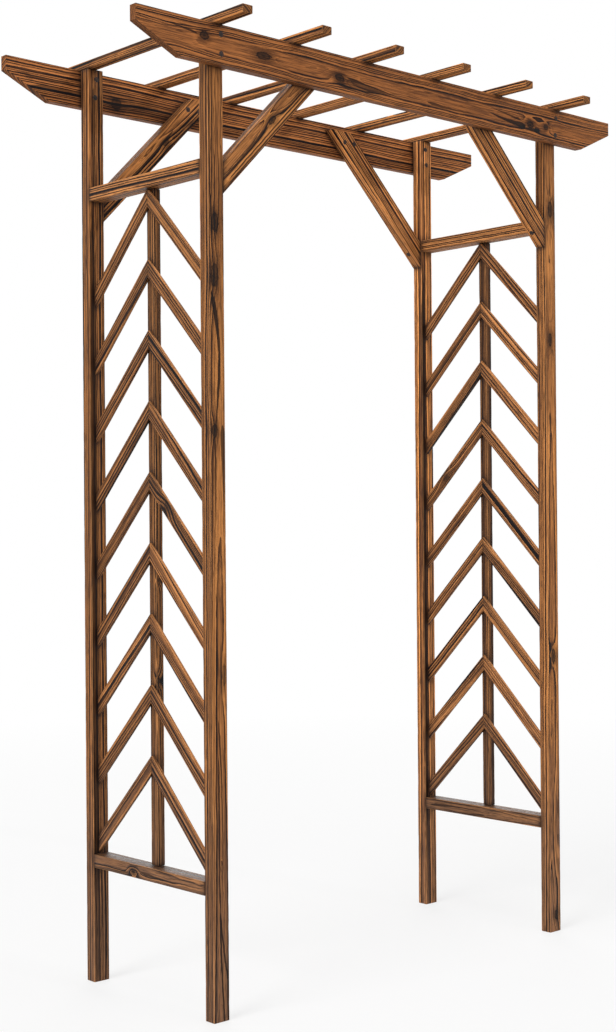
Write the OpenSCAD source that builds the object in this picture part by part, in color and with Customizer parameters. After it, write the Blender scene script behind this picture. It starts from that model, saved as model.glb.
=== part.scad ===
// A garden arbor of stained softwood: four posts, a shaped beam on each face,
// cross battens over the top, a knee brace at each post and a side panel of
// chevron slats between each front and back post.
// Millimetres. X runs along the beams, Y from front to back and Z up. The origin
// is on the ground under the middle of the arbor.

/* [Overall] */
// Width over the outer faces of the posts
arbor_w = 1144; // [1000:2:1500]
// Depth over the outer faces of the posts
arbor_d = 465; // [400:5:560]

/* [Posts] */
// Height of the posts, level with the tops of the beams
post_h = 2100; // [1900:10:2400]
// Width of a post, along the beams
post_w = 42; // [32:1:50]
// Depth of a post, from front to back
post_d = 30; // [24:1:40]

/* [Beams] */
// Thickness of each beam board
beam_t = 20; // [14:1:30]
// Height of each beam board
beam_h = 86; // [70:1:120]
// Length that a beam runs past the outer face of a post
beam_overhang = 200; // [140:2:280]
// Height of the square end above the slanted cut
beam_end_h = 33; // [20:1:50]
// Length of the slanted cut under each end
beam_cut_l = 116; // [60:2:130]

/* [Battens] */
// Number of battens laid across the beams
batten_count = 6; // [3:1:9]
// Width of a batten
batten_w = 28; // [20:1:36]
// Thickness of a batten
batten_t = 18; // [10:1:24]
// Length that a batten runs past the face of a beam
batten_overhang = 97; // [40:1:150]

/* [Knee braces] */
// Width of a brace, square to its length
brace_w = 48; // [36:1:60]
// Thickness of a brace
brace_t = 28; // [16:1:30]
// Angle of a brace above level
brace_angle = 45; // [40:1:52]
// Depth of a brace's lowest corner under the tops of the posts
brace_foot_drop = 350; // [300:2:420]
// Depth of a brace's top cut under the top of the beam
brace_top_drop = 20; // [5:1:40]

/* [Side panels] */
// Height of a rail
rail_h = 31; // [20:1:45]
// Depth of the upper rail's top under the tops of the posts
rail_upper_drop = 276; // [200:2:340]
// Height of the lower rail's underside above the ground
rail_lower_z = 264; // [150:1:350]
// Width of the upright stile in the middle of a panel
stile_w = 25; // [20:1:40]
// Thickness of the stile, which is flush with the backs of the rails
stile_t = 20; // [12:1:22]

/* [Chevrons] */
// Number of chevrons in a panel
chevron_count = 9; // [5:1:11]
// Width of a slat, square to its length
slat_w = 28; // [20:1:32]
// Thickness of a slat, which lies on the face of the stile
slat_t = 8; // [6:1:10]
// Angle of a slat under level
slat_angle = 45; // [35:1:50]
// Height of the lowest chevron's ends above the lower rail
chevron_foot_gap = 2; // [2:1:30]
// Width of the mitre joint between the two slats of a chevron
mitre_gap = 0.5; // [0.2:0.1:1]

/* [Hidden] */
SIDES = ["left", "right"];
FACES = ["front", "back"];

timber = "sienna";
slat_timber = "peru";

// Middles of the posts, and the clear half depth between a front and a back post
post_x = (arbor_w - post_w) / 2;
post_y = (arbor_d - post_d) / 2;
bay_half_d = arbor_d / 2 - post_d;

beam_l = arbor_w + 2 * beam_overhang;
batten_l = arbor_d + 2 * (beam_t + batten_overhang);
batten_pitch = (arbor_w - batten_w) / (batten_count - 1);

// A brace's foot and top cut, and its height measured along a plumb line
brace_foot_z = post_h - brace_foot_drop;
brace_top_z = post_h - brace_top_drop;
brace_plumb = brace_w / cos(brace_angle);

// Undersides of the rails, and the space that the chevrons fill between them
rail_upper_z = post_h - rail_upper_drop - rail_h;
panel_bottom_z = rail_lower_z + rail_h;
slat_plumb = slat_w / cos(slat_angle);
slat_drop = bay_half_d * tan(slat_angle);
chevron_room = rail_upper_z - panel_bottom_z - chevron_foot_gap - slat_drop - slat_plumb;
chevron_pitch = chevron_room / (chevron_count - 1);

// Left faces of a panel's stile and slats, from the middle of a post
stile_x = post_w / 2 - stile_t;
slat_x = stile_x - slat_t;

// -1 for the left side or the front face, 1 for the right side or the back face
function side_sign(name) = (name == "left" || name == "front") ? -1 : 1;

// Stands an outline of [x, z] points upright in the XZ plane, thick towards +Y
module upright_xz(points, thick) {
    translate([0, thick, 0])
        rotate([90, 0, 0])
            linear_extrude(thick)
                polygon(points);
}

// Stands an outline of [y, z] points upright in the YZ plane, thick towards +X
module upright_yz(points, thick) {
    rotate([90, 0, 90])
        linear_extrude(thick)
            polygon(points);
}

module post(face, side) {
    color(timber)
        translate([
            side_sign(side) * post_x - post_w / 2,
            side_sign(face) * post_y - post_d / 2,
            0
        ])
            cube([post_w, post_d, post_h]);
}

// A board on the outer faces of two posts, with the lower corner cut off each end
module beam(face) {
    end_x = beam_l / 2;
    cut_x = end_x - beam_cut_l;
    bottom_z = post_h - beam_h;
    end_z = post_h - beam_end_h;
    outer_y = face == "front" ? -arbor_d / 2 - beam_t : arbor_d / 2;
    color(timber)
        translate([0, outer_y, 0])
            upright_xz([
                [-cut_x, bottom_z],
                [cut_x, bottom_z],
                [end_x, end_z],
                [end_x, post_h],
                [-end_x, post_h],
                [-end_x, end_z]
            ], beam_t);
}

// A diagonal from the inner face of a post up to the inner face of its beam
module brace(face, side) {
    foot_x = post_x - post_w / 2;
    low_run = (brace_top_z - brace_foot_z) / tan(brace_angle);
    high_run = (brace_top_z - brace_foot_z - brace_plumb) / tan(brace_angle);
    near_y = face == "front" ? -arbor_d / 2 : arbor_d / 2 - brace_t;
    s = side_sign(side);
    color(timber)
        translate([0, near_y, 0])
            upright_xz([
                [s * foot_x, brace_foot_z],
                [s * (foot_x - low_run), brace_top_z],
                [s * (foot_x - high_run), brace_top_z],
                [s * foot_x, brace_foot_z + brace_plumb]
            ], brace_t);
}

module batten(i) {
    color(timber)
        translate([-arbor_w / 2 + (i - 1) * batten_pitch, -batten_l / 2, post_h])
            cube([batten_w, batten_l, batten_t]);
}

// A rail as deep as the posts are wide
module rail(level, side) {
    z = level == "upper" ? rail_upper_z : rail_lower_z;
    color(timber)
        translate([side_sign(side) * post_x - post_w / 2, -bay_half_d, z])
            cube([post_w, 2 * bay_half_d, rail_h]);
}

module stile(side) {
    color(timber)
        translate([side_sign(side) * post_x + stile_x, -stile_w / 2, panel_bottom_z])
            cube([stile_t, stile_w, rail_upper_z - panel_bottom_z]);
}

// Two slats that meet in a plumb mitre over the stile and run down to the posts
module chevron(side, i) {
    apex_z = rail_upper_z - (i - 1) * chevron_pitch;
    mitre_y = mitre_gap / 2;
    mitre_z = apex_z - mitre_y * tan(slat_angle);
    end_z = apex_z - slat_drop;
    color(slat_timber)
        translate([side_sign(side) * post_x + slat_x, 0, 0])
            for (s = [-1, 1])
                upright_yz([
                    [s * mitre_y, mitre_z],
                    [s * bay_half_d, end_z],
                    [s * bay_half_d, end_z - slat_plumb],
                    [s * mitre_y, mitre_z - slat_plumb]
                ], slat_t);
}

for (face = FACES, side = SIDES)
    post(face, side);
for (face = FACES)
    beam(face);
for (face = FACES, side = SIDES)
    brace(face, side);
for (i = [1 : batten_count])
    batten(i);
for (level = ["upper", "lower"], side = SIDES)
    rail(level, side);
for (side = SIDES)
    stile(side);
for (side = SIDES, i = [1 : chevron_count])
    chevron(side, i);
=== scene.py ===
# Garden arbor in brushed, dark stained softwood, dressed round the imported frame.
# Metres. X runs along the beams, Y from front to back and Z up.
import math
import random
import bmesh
import bpy
from mathutils import Matrix, Vector, noise
from mathutils.bvhtree import BVHTree


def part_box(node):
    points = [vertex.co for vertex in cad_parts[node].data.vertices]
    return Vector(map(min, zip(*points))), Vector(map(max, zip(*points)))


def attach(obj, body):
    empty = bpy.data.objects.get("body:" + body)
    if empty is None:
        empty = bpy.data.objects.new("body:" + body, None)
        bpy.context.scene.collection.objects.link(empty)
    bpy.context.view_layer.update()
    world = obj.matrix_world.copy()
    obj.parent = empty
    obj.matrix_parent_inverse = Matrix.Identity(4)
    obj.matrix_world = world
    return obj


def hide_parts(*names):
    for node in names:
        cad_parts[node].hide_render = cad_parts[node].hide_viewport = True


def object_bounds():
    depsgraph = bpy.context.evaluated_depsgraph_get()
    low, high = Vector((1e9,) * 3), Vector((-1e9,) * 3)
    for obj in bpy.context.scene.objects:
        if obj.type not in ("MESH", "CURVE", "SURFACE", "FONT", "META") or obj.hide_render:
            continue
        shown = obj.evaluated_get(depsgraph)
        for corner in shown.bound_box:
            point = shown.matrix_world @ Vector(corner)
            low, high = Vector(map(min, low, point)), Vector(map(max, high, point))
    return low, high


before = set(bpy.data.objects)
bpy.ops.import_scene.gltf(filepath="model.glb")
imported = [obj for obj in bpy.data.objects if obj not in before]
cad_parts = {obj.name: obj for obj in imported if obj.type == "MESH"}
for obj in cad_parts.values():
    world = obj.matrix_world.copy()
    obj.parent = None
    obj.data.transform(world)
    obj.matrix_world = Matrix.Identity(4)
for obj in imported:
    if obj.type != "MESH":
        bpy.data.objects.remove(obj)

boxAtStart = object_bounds()
print("frame: %d timbers" % len(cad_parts))

alongX = Vector((1, 0, 0))
alongY = Vector((0, 1, 0))
alongZ = Vector((0, 0, 1))
axes = (alongX, alongY, alongZ)


def addObject(name, data):
    made = bpy.data.objects.new(name, data)
    bpy.context.scene.collection.objects.link(made)
    return made


def tint(red, green, blue):
    # screen values 0-255 to a linear colour
    linear = [((v / 255 + 0.055) / 1.055) ** 2.4 if v > 10 else v / 3295 for v in (red, green, blue)]
    return (*linear, 1.0)


# Short ways to wire a node tree. A value is a socket to be linked or a plain value to be typed in.

def feed(tree, socket, value):
    if isinstance(value, bpy.types.NodeSocket):
        tree.links.new(value, socket)
    else:
        socket.default_value = value


def feedAll(tree, node, values):
    # values is {name or number of an input: value}
    for key, value in values.items():
        feed(tree, node.inputs[key], value)


def addNode(tree, kind, values=None, **settings):
    node = tree.nodes.new(kind)
    for key, value in settings.items():
        setattr(node, key, value)
    feedAll(tree, node, values or {})
    return node


def doMath(tree, operation, *values):
    return addNode(tree, "ShaderNodeMath", dict(enumerate(values)), operation=operation).outputs[0]


def plus(tree, first, second):
    return doMath(tree, "ADD", first, second)


def minus(tree, first, second):
    return doMath(tree, "SUBTRACT", first, second)


def over(tree, first, second):
    return doMath(tree, "DIVIDE", first, second)


def times(tree, first, *others):
    for other in others:
        first = doMath(tree, "MULTIPLY", first, other)
    return first


def timesPlus(tree, first, second, added):
    return doMath(tree, "MULTIPLY_ADD", first, second, added)


def greater(tree, first, second):
    return doMath(tree, "MAXIMUM", first, second)


def hypotenuse(tree, first, second):
    return doMath(tree, "SQRT", timesPlus(tree, first, first, times(tree, second, second)))


def weigh(tree, sockets, weights, total=0.0):
    # adds up the named sockets, each by its own weight
    for name, weight in weights.items():
        total = timesPlus(tree, sockets[name], weight, total)
    return total


def mapRange(tree, value, fromLow, fromHigh, toLow=0.0, toHigh=1.0, kind="LINEAR"):
    values = dict(enumerate((value, fromLow, fromHigh, toLow, toHigh)))
    return addNode(tree, "ShaderNodeMapRange", values, interpolation_type=kind).outputs[0]


def easeRange(tree, *values):
    return mapRange(tree, *values, kind="SMOOTHSTEP")


def doVector(tree, operation, first, second):
    return addNode(tree, "ShaderNodeVectorMath", {0: first, 1: second}, operation=operation).outputs[0]


def splitVector(tree, value):
    return addNode(tree, "ShaderNodeSeparateXYZ", {0: value}).outputs


def joinVector(tree, *values):
    return addNode(tree, "ShaderNodeCombineXYZ", dict(enumerate(values))).outputs[0]


def noiseOver(tree, where, scale, detail=2.0, rough=0.5, output="Fac"):
    # scale is the waves to a metre on each axis
    where = doVector(tree, "MULTIPLY", where, scale)
    values = {"Vector": where, "Scale": 1.0, "Detail": detail, "Roughness": rough}
    return addNode(tree, "ShaderNodeTexNoise", values, noise_dimensions="3D").outputs[output]


def noiseLine(tree, value):
    values = {"W": value, "Scale": 1.0, "Detail": 0.0}
    return addNode(tree, "ShaderNodeTexNoise", values, noise_dimensions="1D").outputs["Fac"]


def mixColour(tree, factor, first, second, blend="MIX"):
    # a Mix node keeps its colours in its inputs 6 and 7
    values = {0: factor, 6: first, 7: second}
    return addNode(tree, "ShaderNodeMix", values, data_type="RGBA", blend_type=blend).outputs[2]


def plainKey(label):
    # "Ring Gap" to ringGap
    joined = label.replace(" ", "")
    return joined[0].lower() + joined[1:]


def startGroup(name, inputs, outputs):
    # sockets are {label: default}; None makes a vector, four numbers a colour and one number a float
    tree = bpy.data.node_groups.new(name, "ShaderNodeTree")
    for way, sockets in (("INPUT", inputs), ("OUTPUT", outputs)):
        for label, default in sockets.items():
            kind = "Vector" if default is None else "Color" if isinstance(default, tuple) else "Float"
            socket = tree.interface.new_socket(label, in_out=way, socket_type="NodeSocket" + kind)
            if way == "INPUT" and default is not None:
                socket.default_value = default
    return tree, addNode(tree, "NodeGroupInput").outputs, addNode(tree, "NodeGroupOutput")


def placeGroup(tree, group, **values):
    # values and results go by the sockets' plain keys; a value that the group has no socket for is left out
    node = addNode(tree, "ShaderNodeGroup", node_tree=group)
    for socket in node.inputs:
        if plainKey(socket.name) in values:
            feed(tree, socket, values[plainKey(socket.name)])
    return {plainKey(socket.name): socket for socket in node.outputs}


# The wood effects work in grain space: x runs along the board, y and z go out from the heart of the log.
# Every timber comes from its own log, and the logs lie end to end along x.
logLength = 4.0
swayScale = (2.3, 7.0, 7.0)


def makeBendGroup():
    # lets the heart wander a little from side to side up the tree
    tree, given, result = startGroup("bendGrain", {"Grain": None, "Bend": 0.01}, {"Grain": None})
    sway = noiseOver(tree, given["Grain"], swayScale, detail=1.5, output="Color")
    centred = doVector(tree, "SUBTRACT", sway, (0.5, 0.5, 0.5))
    shift = doVector(tree, "MULTIPLY", centred, joinVector(tree, 0.0, given["Bend"], given["Bend"]))
    feedAll(tree, result, {"Grain": doVector(tree, "ADD", given["Grain"], shift)})
    return tree


knotForm = {
    "start": (-0.002, 0.004), "tip": 0.006,            # metres from the heart, and past the reach
    "ragScale": (150, 240, 240), "rag": (0.8, 0.60),   # how ragged the outline is, and the least of it
    "bark": (0.58, 0.88), "pith": (0.46, 0.15),        # shares of the radius, as are edge and halo
    "between": 0.75,                                   # ink between bark and pith
    "edge": (1.10, 0.90), "halo": (0.8, 2.6),
    "flowAlong": 0.33, "flowAside": 0.5,               # how tightly the rings bend round, to a radius
}


def makeKnotGroup():
    # a branch that runs out from the heart: pushes the rings aside and leaves a dark, fuzzy eye
    passed = dict.fromkeys(("Push", "Steep", "Core", "Halo"), 0.0)
    tree, given, result = startGroup("knot", {
        "Grain": None, **passed, "Along": 0.0, "Angle": 0.0, "Radius": 0.006, "Stretch": 1.6, "Loops": 3.0,
        "Strength": 1.0, "Reach": 0.03}, passed)
    a, b, c = splitVector(tree, given["Grain"])
    cosine = doMath(tree, "COSINE", given["Angle"])
    sine = doMath(tree, "SINE", given["Angle"])
    outward = timesPlus(tree, b, cosine, times(tree, c, sine))
    aside = minus(tree, times(tree, c, cosine), times(tree, b, sine))
    rise = minus(tree, a, given["Along"])
    start = mapRange(tree, outward, *knotForm["start"])
    tip = mapRange(tree, minus(tree, outward, given["Reach"]), 0.0, knotForm["tip"], 1.0, 0.0)
    onBranch = times(tree, start, tip)
    rag = noiseOver(tree, given["Grain"], knotForm["ragScale"], detail=2.5, rough=0.6)
    rag = timesPlus(tree, rag, *knotForm["rag"])
    tall = times(tree, given["Radius"], given["Stretch"])
    long = over(tree, rise, tall)
    wide = over(tree, aside, given["Radius"])
    away = times(tree, hypotenuse(tree, long, wide), rag)
    shown = times(tree, onBranch, given["Strength"])
    # black at the bark and at the pith, browner between them
    bark = mapRange(tree, away, *knotForm["bark"], knotForm["between"], 1.0)
    pith = mapRange(tree, away, *knotForm["pith"], knotForm["between"], 1.0)
    core = times(tree, greater(tree, bark, pith), shown, easeRange(tree, away, *knotForm["edge"]))
    halo = times(tree, easeRange(tree, away, *knotForm["halo"], 1.0, 0.0), shown)
    # the rings flow round the knot, and how closely they crowd is passed on
    flowLong = times(tree, long, knotForm["flowAlong"])
    flowWide = times(tree, wide, knotForm["flowAside"])
    spread = timesPlus(tree, flowLong, flowLong, times(tree, flowWide, flowWide))
    bulge = doMath(tree, "EXPONENT", times(tree, spread, -1.0))
    push = times(tree, bulge, times(tree, given["Loops"], onBranch))
    crowdLong = over(tree, times(tree, flowLong, 2 * knotForm["flowAlong"]), tall)
    crowdWide = over(tree, times(tree, flowWide, 2 * knotForm["flowAside"]), given["Radius"])
    crowd = hypotenuse(tree, crowdLong, crowdWide)
    feedAll(tree, result, {
        "Push": plus(tree, given["Push"], push), "Steep": timesPlus(tree, push, crowd, given["Steep"]),
        "Core": greater(tree, given["Core"], core), "Halo": greater(tree, given["Halo"], halo)})
    return tree


pitchForm = {
    "wanderScale": (35, 0, 0), "wander": 0.0035,
    "thinnest": 0.0008,               # least half width
    "skin": (0.003, 0.007),           # how far behind its face a streak still shows
    "swell": (0.0, 0.12, 0.15, 1.0),  # over the first of its length
    "ends": (0.03, 0.25),             # shares of the length in which it comes and goes
    "edge": (0.8, 1.25),              # shares of the half width
}


def makePitchGroup():
    # a dark streak of resin that starts broad and thins out along the grain in a shallow bow; a few streaks
    # are painted shadow instead
    tree, given, result = startGroup("pitchStreak", {
        "Grain": None, "Pitch": 0.0, "Along": 0.0, "Aside": 0.0, "Deep": 0.0, "Length": 0.1, "Width": 0.004,
        "Bow": 0.0, "Drift": 0.0, "Taper": 2.2, "Strength": 1.0, "Lean Aside": 0.0, "Lean Deep": 0.0,
    }, {"Pitch": 0.0})
    a, b, c = splitVector(tree, given["Grain"])
    run = minus(tree, a, given["Along"])
    part = over(tree, run, given["Length"])
    rest = minus(tree, 1.0, part)
    wander = minus(tree, noiseOver(tree, given["Grain"], pitchForm["wanderScale"]), 0.5)
    middle = timesPlus(tree, wander, pitchForm["wander"], given["Aside"])
    # part by rest is a quarter half way along, where the bow is deepest
    middle = timesPlus(tree, times(tree, part, rest), times(tree, given["Bow"], 4.0), middle)
    middle = timesPlus(tree, part, given["Drift"], middle)
    middle = minus(tree, middle, times(tree, run, given["Lean Aside"]))
    half = doMath(tree, "POWER", greater(tree, rest, 0.0), given["Taper"])
    half = times(tree, half, easeRange(tree, part, *pitchForm["swell"]), given["Width"])
    half = plus(tree, half, pitchForm["thinnest"])
    off = over(tree, doMath(tree, "ABSOLUTE", minus(tree, b, middle)), half)
    inside = easeRange(tree, off, *pitchForm["edge"], 1.0, 0.0)
    atStart, atEnd = pitchForm["ends"]
    ends = times(tree, easeRange(tree, part, 0.0, atStart), easeRange(tree, rest, 0.0, atEnd))
    deep = timesPlus(tree, run, given["Lean Deep"], minus(tree, c, given["Deep"]))
    onFace = mapRange(tree, doMath(tree, "ABSOLUTE", deep), *pitchForm["skin"], 1.0, 0.0)
    streak = times(tree, inside, ends, times(tree, onFace, given["Strength"]))
    feedAll(tree, result, {"Pitch": greater(tree, given["Pitch"], streak)})
    return tree


ringForm = {
    "shiverScale": (16, 75, 75), "shiver": 0.0022,                 # metres
    "uneven": 1.8, "yearScale": 0.5,                               # rings, and waves to a ring
    "yearSeed": 31.7, "luckSeed": 131.0, "logSlack": 0.02,         # these set the logs apart
    "leastSlope": 0.01,
    "fadeScale": (5, 90, 90), "fade": (0.30, 0.46, 0.74, 1.0),
    "luck": (0.0, 0.6, 0.86, 1.0),                                 # some rings are darker than others
    "widths": (0.65, 1.3), "widest": 0.46,                         # in line widths, and in rings
    "dull": (0.20, 0.36, 0.8, 0.0),
    "late": (0.8, 1.1), "shoulder": (1.0, 3.2), "fresh": (0.2, 1.6),  # line widths from a ring's end
    "falseRings": 3.37, "falseEdge": (0.3, 0.55, 0.74, 0.0),       # how many to a true ring
    "falseCalm": (0.5, 1.0, 1.0, 0.4), "falseFade": 0.3,
}


def makeRingGroup():
    # growth rings: thin dark late bands whose width on the face hardly changes with the angle of the cut
    tree, given, result = startGroup("growthRings", {
        "Grain": None, "Facing": None, "Push": 0.0, "Steep": 0.0, "Ring Gap": 0.005, "Line Width": 0.0018,
        "Calm": 0.5}, dict.fromkeys(("Late", "Shoulder", "Fresh"), 0.0))
    a, b, c = splitVector(tree, given["Grain"])
    _, facingB, facingC = splitVector(tree, given["Facing"])
    radius = hypotenuse(tree, b, c)
    dot = over(tree, timesPlus(tree, b, facingB, times(tree, c, facingC)), radius)
    slope = minus(tree, 1.0, times(tree, dot, dot))
    slope = doMath(tree, "SQRT", greater(tree, slope, ringForm["leastSlope"]))
    steep = hypotenuse(tree, over(tree, slope, given["Ring Gap"]), given["Steep"])
    shiver = minus(tree, noiseOver(tree, given["Grain"], ringForm["shiverScale"]), 0.5)
    radius = timesPlus(tree, shiver, ringForm["shiver"], radius)
    count = plus(tree, over(tree, radius, given["Ring Gap"]), given["Push"])
    # each log has good and bad years of its own; the slack keeps a board's very end in its log
    log = doMath(tree, "FLOOR", timesPlus(tree, a, 1 / logLength, ringForm["logSlack"]))
    ownYears = times(tree, log, ringForm["yearSeed"])
    years = noiseLine(tree, timesPlus(tree, count, ringForm["yearScale"], ownYears))
    count = timesPlus(tree, minus(tree, years, 0.5), ringForm["uneven"], count)
    part = doMath(tree, "FRACT", count)
    ring = minus(tree, count, part)
    draw = {"W": timesPlus(tree, log, ringForm["luckSeed"], ring)}
    luck = addNode(tree, "ShaderNodeTexWhiteNoise", draw, noise_dimensions="1D").outputs["Value"]
    fade = mapRange(tree, noiseOver(tree, given["Grain"], ringForm["fadeScale"]), *ringForm["fade"])
    # a ring that the saw ran nearly along has no crisp edge
    dull = easeRange(tree, times(tree, steep, given["Ring Gap"]), *ringForm["dull"])
    crisp = minus(tree, 1.0, times(tree, dull, given["Calm"]))
    strength = times(tree, mapRange(tree, luck, *ringForm["luck"]), fade, crisp)
    broad = times(tree, mapRange(tree, luck, 0.0, 1.0, *ringForm["widths"]), given["Line Width"])
    broad = doMath(tree, "MINIMUM", broad, over(tree, ringForm["widest"], steep))
    before = over(tree, over(tree, minus(tree, 1.0, part), steep), broad)
    past = over(tree, over(tree, part, steep), broad)
    late = times(tree, easeRange(tree, before, *ringForm["late"], 1.0, 0.0), strength)
    # faint false rings in between, fewer on calm timber
    falseRings = ringForm["falseRings"]
    thin = minus(tree, 1.0, doMath(tree, "FRACT", times(tree, count, falseRings)))
    thin = over(tree, thin, times(tree, steep, falseRings))
    thin = mapRange(tree, over(tree, thin, broad), *ringForm["falseEdge"])
    thin = times(tree, thin, mapRange(tree, given["Calm"], *ringForm["falseCalm"]))
    thin = times(tree, thin, times(tree, crisp, minus(tree, fade, ringForm["falseFade"])))
    shoulder = easeRange(tree, before, *ringForm["shoulder"], 1.0, 0.0)
    fresh = easeRange(tree, past, *ringForm["fresh"], 1.0, 0.0)
    feedAll(tree, result, {
        "Late": greater(tree, late, thin), "Shoulder": times(tree, strength, shoulder),
        "Fresh": times(tree, fresh, crisp)})
    return tree


# scale, detail and roughness of each noise, and its levels at none and at full
fibreForm = {
    "Streak": ((8, 480, 480), 3.0, 0.6, (0.38, 0.62)),
    "Dash": ((22, 560, 560), 1.0, 0.5, (0.58, 0.70)),
    "Pores": ((45, 1500, 1500), 1.0, 0.5, (0.60, 0.72)),
    "Patch": ((3.2, 26, 26), 2.0, 0.5, (0.30, 0.70)),
}


def makeFibreGroup():
    # brushed fibres, short dark dashes, open pores and slow patches of stain along the board
    tree, given, result = startGroup("brushedFibres", {"Grain": None}, dict.fromkeys(fibreForm, 0.0))
    for name, (scale, detail, rough, levels) in fibreForm.items():
        pattern = noiseOver(tree, given["Grain"], scale, detail, rough)
        feedAll(tree, result, {name: mapRange(tree, pattern, *levels)})
    return tree


stainForm = {
    "lift": {"Patch": 0.32, "Streak": 0.62, "Fresh": 0.75, "Shoulder": -0.35},
    "sheen": {"Streak": 0.12, "Late": -0.12, "Cut End": 0.15},
    "relief": {"Streak": 0.25, "Late": 0.8, "Pores": -0.4, "Dash": -0.3, "Core": -0.5},
    # dirt is the near-black of the painted shade in the joints
    "black": (0.005, 0.0035, 0.0035, 1), "dirt": (0.010, 0.007, 0.007, 1), "greyed": tint(104, 88, 78),
    # how strongly each mark covers the stain below it
    "dash": 0.66, "halo": 0.55, "pitch": 0.92, "knot": (0.98, 0.82), "pores": 0.35, "cutEnd": 0.4,
    "nook": 0.85, "rubbed": (0.1, 0.9, 0.15, 0.75), "endLines": -0.5,
}


def makeStainGroup():
    # lays the stain with the painted joint shade, painted shadow streaks and painted top highlight: colour,
    # sheen and relief from all the masks
    white = (1, 1, 1, 1)
    masks = ("Late", "Shoulder", "Fresh", "Tone", "Streak", "Dash", "Pores", "Patch", "Core", "Halo", "Pitch",
             "Arris", "Nook", "Cut End", "Damp")
    tree, given, result = startGroup("layStain", {
        "Pale": white, "Brown": white, "Dark": white, "Worn": white, "Line": 0.9, "Gloss": 0.5,
        **dict.fromkeys(masks, 0.0)}, {"Colour": white, "Roughness": 0.0, "Height": 0.0})

    def cover(shade, mask, strength, stain):
        return mixColour(tree, times(tree, mask, strength), shade, stain)

    # early wood, from brown to pale with the fibres and palest just past a late band
    lift = weigh(tree, given, stainForm["lift"])
    shade = mixColour(tree, mapRange(tree, lift, 0.0, 1.0), given["Brown"], given["Pale"])
    # each board took the stain a little differently, and the boards on the right side are painted paler,
    # standing in for brighter light there
    own = given["Tone"]
    shade = mixColour(tree, 1.0, shade, joinVector(tree, own, own, own), "MULTIPLY")
    # splashes from the ground have greyed the feet
    shade = mixColour(tree, given["Damp"], shade, stainForm["greyed"])
    # dashes, late bands, resin streaks and painted shadow streaks, knots and pores
    shade = cover(shade, given["Dash"], stainForm["dash"], given["Dark"])
    shade = cover(shade, given["Halo"], stainForm["halo"], given["Dark"])
    onFace = timesPlus(tree, given["Cut End"], stainForm["endLines"], 1.0)
    shade = cover(shade, given["Late"], times(tree, given["Line"], onFace), given["Dark"])
    shade = cover(shade, given["Pitch"], times(tree, onFace, stainForm["pitch"]), stainForm["black"])
    knotInk = mapRange(tree, given["Streak"], 0.0, 1.0, *stainForm["knot"])
    shade = cover(shade, given["Core"], knotInk, stainForm["black"])
    shade = cover(shade, given["Pores"], stainForm["pores"], given["Dark"])
    # stain worn off the arrises, with a painted highlight on the slats' faces that look up; end grain drinks
    # more; painted shade in the joints
    shade = cover(shade, given["Arris"], mapRange(tree, given["Streak"], *stainForm["rubbed"]), given["Worn"])
    shade = cover(shade, given["Cut End"], stainForm["cutEnd"], given["Dark"])
    shade = cover(shade, given["Nook"], stainForm["nook"], stainForm["dirt"])
    # brushing leaves the hard late bands standing
    feedAll(tree, result, {
        "Colour": shade, "Roughness": weigh(tree, given, stainForm["sheen"], given["Gloss"]),
        "Height": weigh(tree, given, stainForm["relief"])})
    return tree


bendGroup = makeBendGroup()
knotGroup = makeKnotGroup()
pitchGroup = makePitchGroup()
ringGroup = makeRingGroup()
fibreGroup = makeFibreGroup()
stainGroup = makeStainGroup()


def blankMaterial(name):
    material = bpy.data.materials.new(name)
    material.use_nodes = True
    tree = material.node_tree
    tree.nodes.clear()
    shader = addNode(tree, "ShaderNodeBsdfPrincipled")
    addNode(tree, "ShaderNodeOutputMaterial", {"Surface": shader.outputs[0]})
    return material, tree, shader


def attributeVector(tree, name):
    return addNode(tree, "ShaderNodeAttribute", attribute_name=name).outputs["Vector"]


def objectPlace(tree):
    return addNode(tree, "ShaderNodeTexCoord").outputs["Object"]


brushedFinish = {"specular": 0.10, "bump": 0.55, "bumpDepth": 0.0009, "splashHeight": 0.65, "splash": 0.50}


def stainedTimber(name, look, knots, streaks):
    material, tree, shader = blankMaterial(name)
    grain = attributeVector(tree, "grain")
    bent = placeGroup(tree, bendGroup, grain=grain, bend=look["bend"])["grain"]
    eyes = dict.fromkeys(("push", "steep", "core", "halo"), 0.0)
    for knot in knots:
        eyes = placeGroup(tree, knotGroup, grain=bent, **eyes, **knot)
    pitch = {"pitch": 0.0}
    for streak in streaks:
        pitch = placeGroup(tree, pitchGroup, grain=grain, **pitch, **streak)
    ringGap, tone, lineWidth = splitVector(tree, attributeVector(tree, "stock"))
    rings = placeGroup(tree, ringGroup, grain=bent, facing=attributeVector(tree, "facing"), ringGap=ringGap,
                       lineWidth=lineWidth, calm=look["calm"], **eyes)
    fibres = placeGroup(tree, fibreGroup, grain=bent)
    arris, nook, cutEnd = splitVector(tree, attributeVector(tree, "marks"))
    height = splitVector(tree, objectPlace(tree))[2]
    damp = easeRange(tree, height, 0.0, brushedFinish["splashHeight"], brushedFinish["splash"], 0.0)
    stain = placeGroup(tree, stainGroup, tone=tone, arris=arris, nook=nook, cutEnd=cutEnd, damp=damp,
                       **look, **rings, **fibres, **eyes, **pitch)
    bump = addNode(tree, "ShaderNodeBump", {
        "Strength": brushedFinish["bump"], "Distance": brushedFinish["bumpDepth"], "Height": stain["height"]})
    feedAll(tree, shader, {
        "Base Color": stain["colour"], "Roughness": stain["roughness"],
        "Specular IOR Level": brushedFinish["specular"], "Normal": bump.outputs[0]})
    return material


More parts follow.
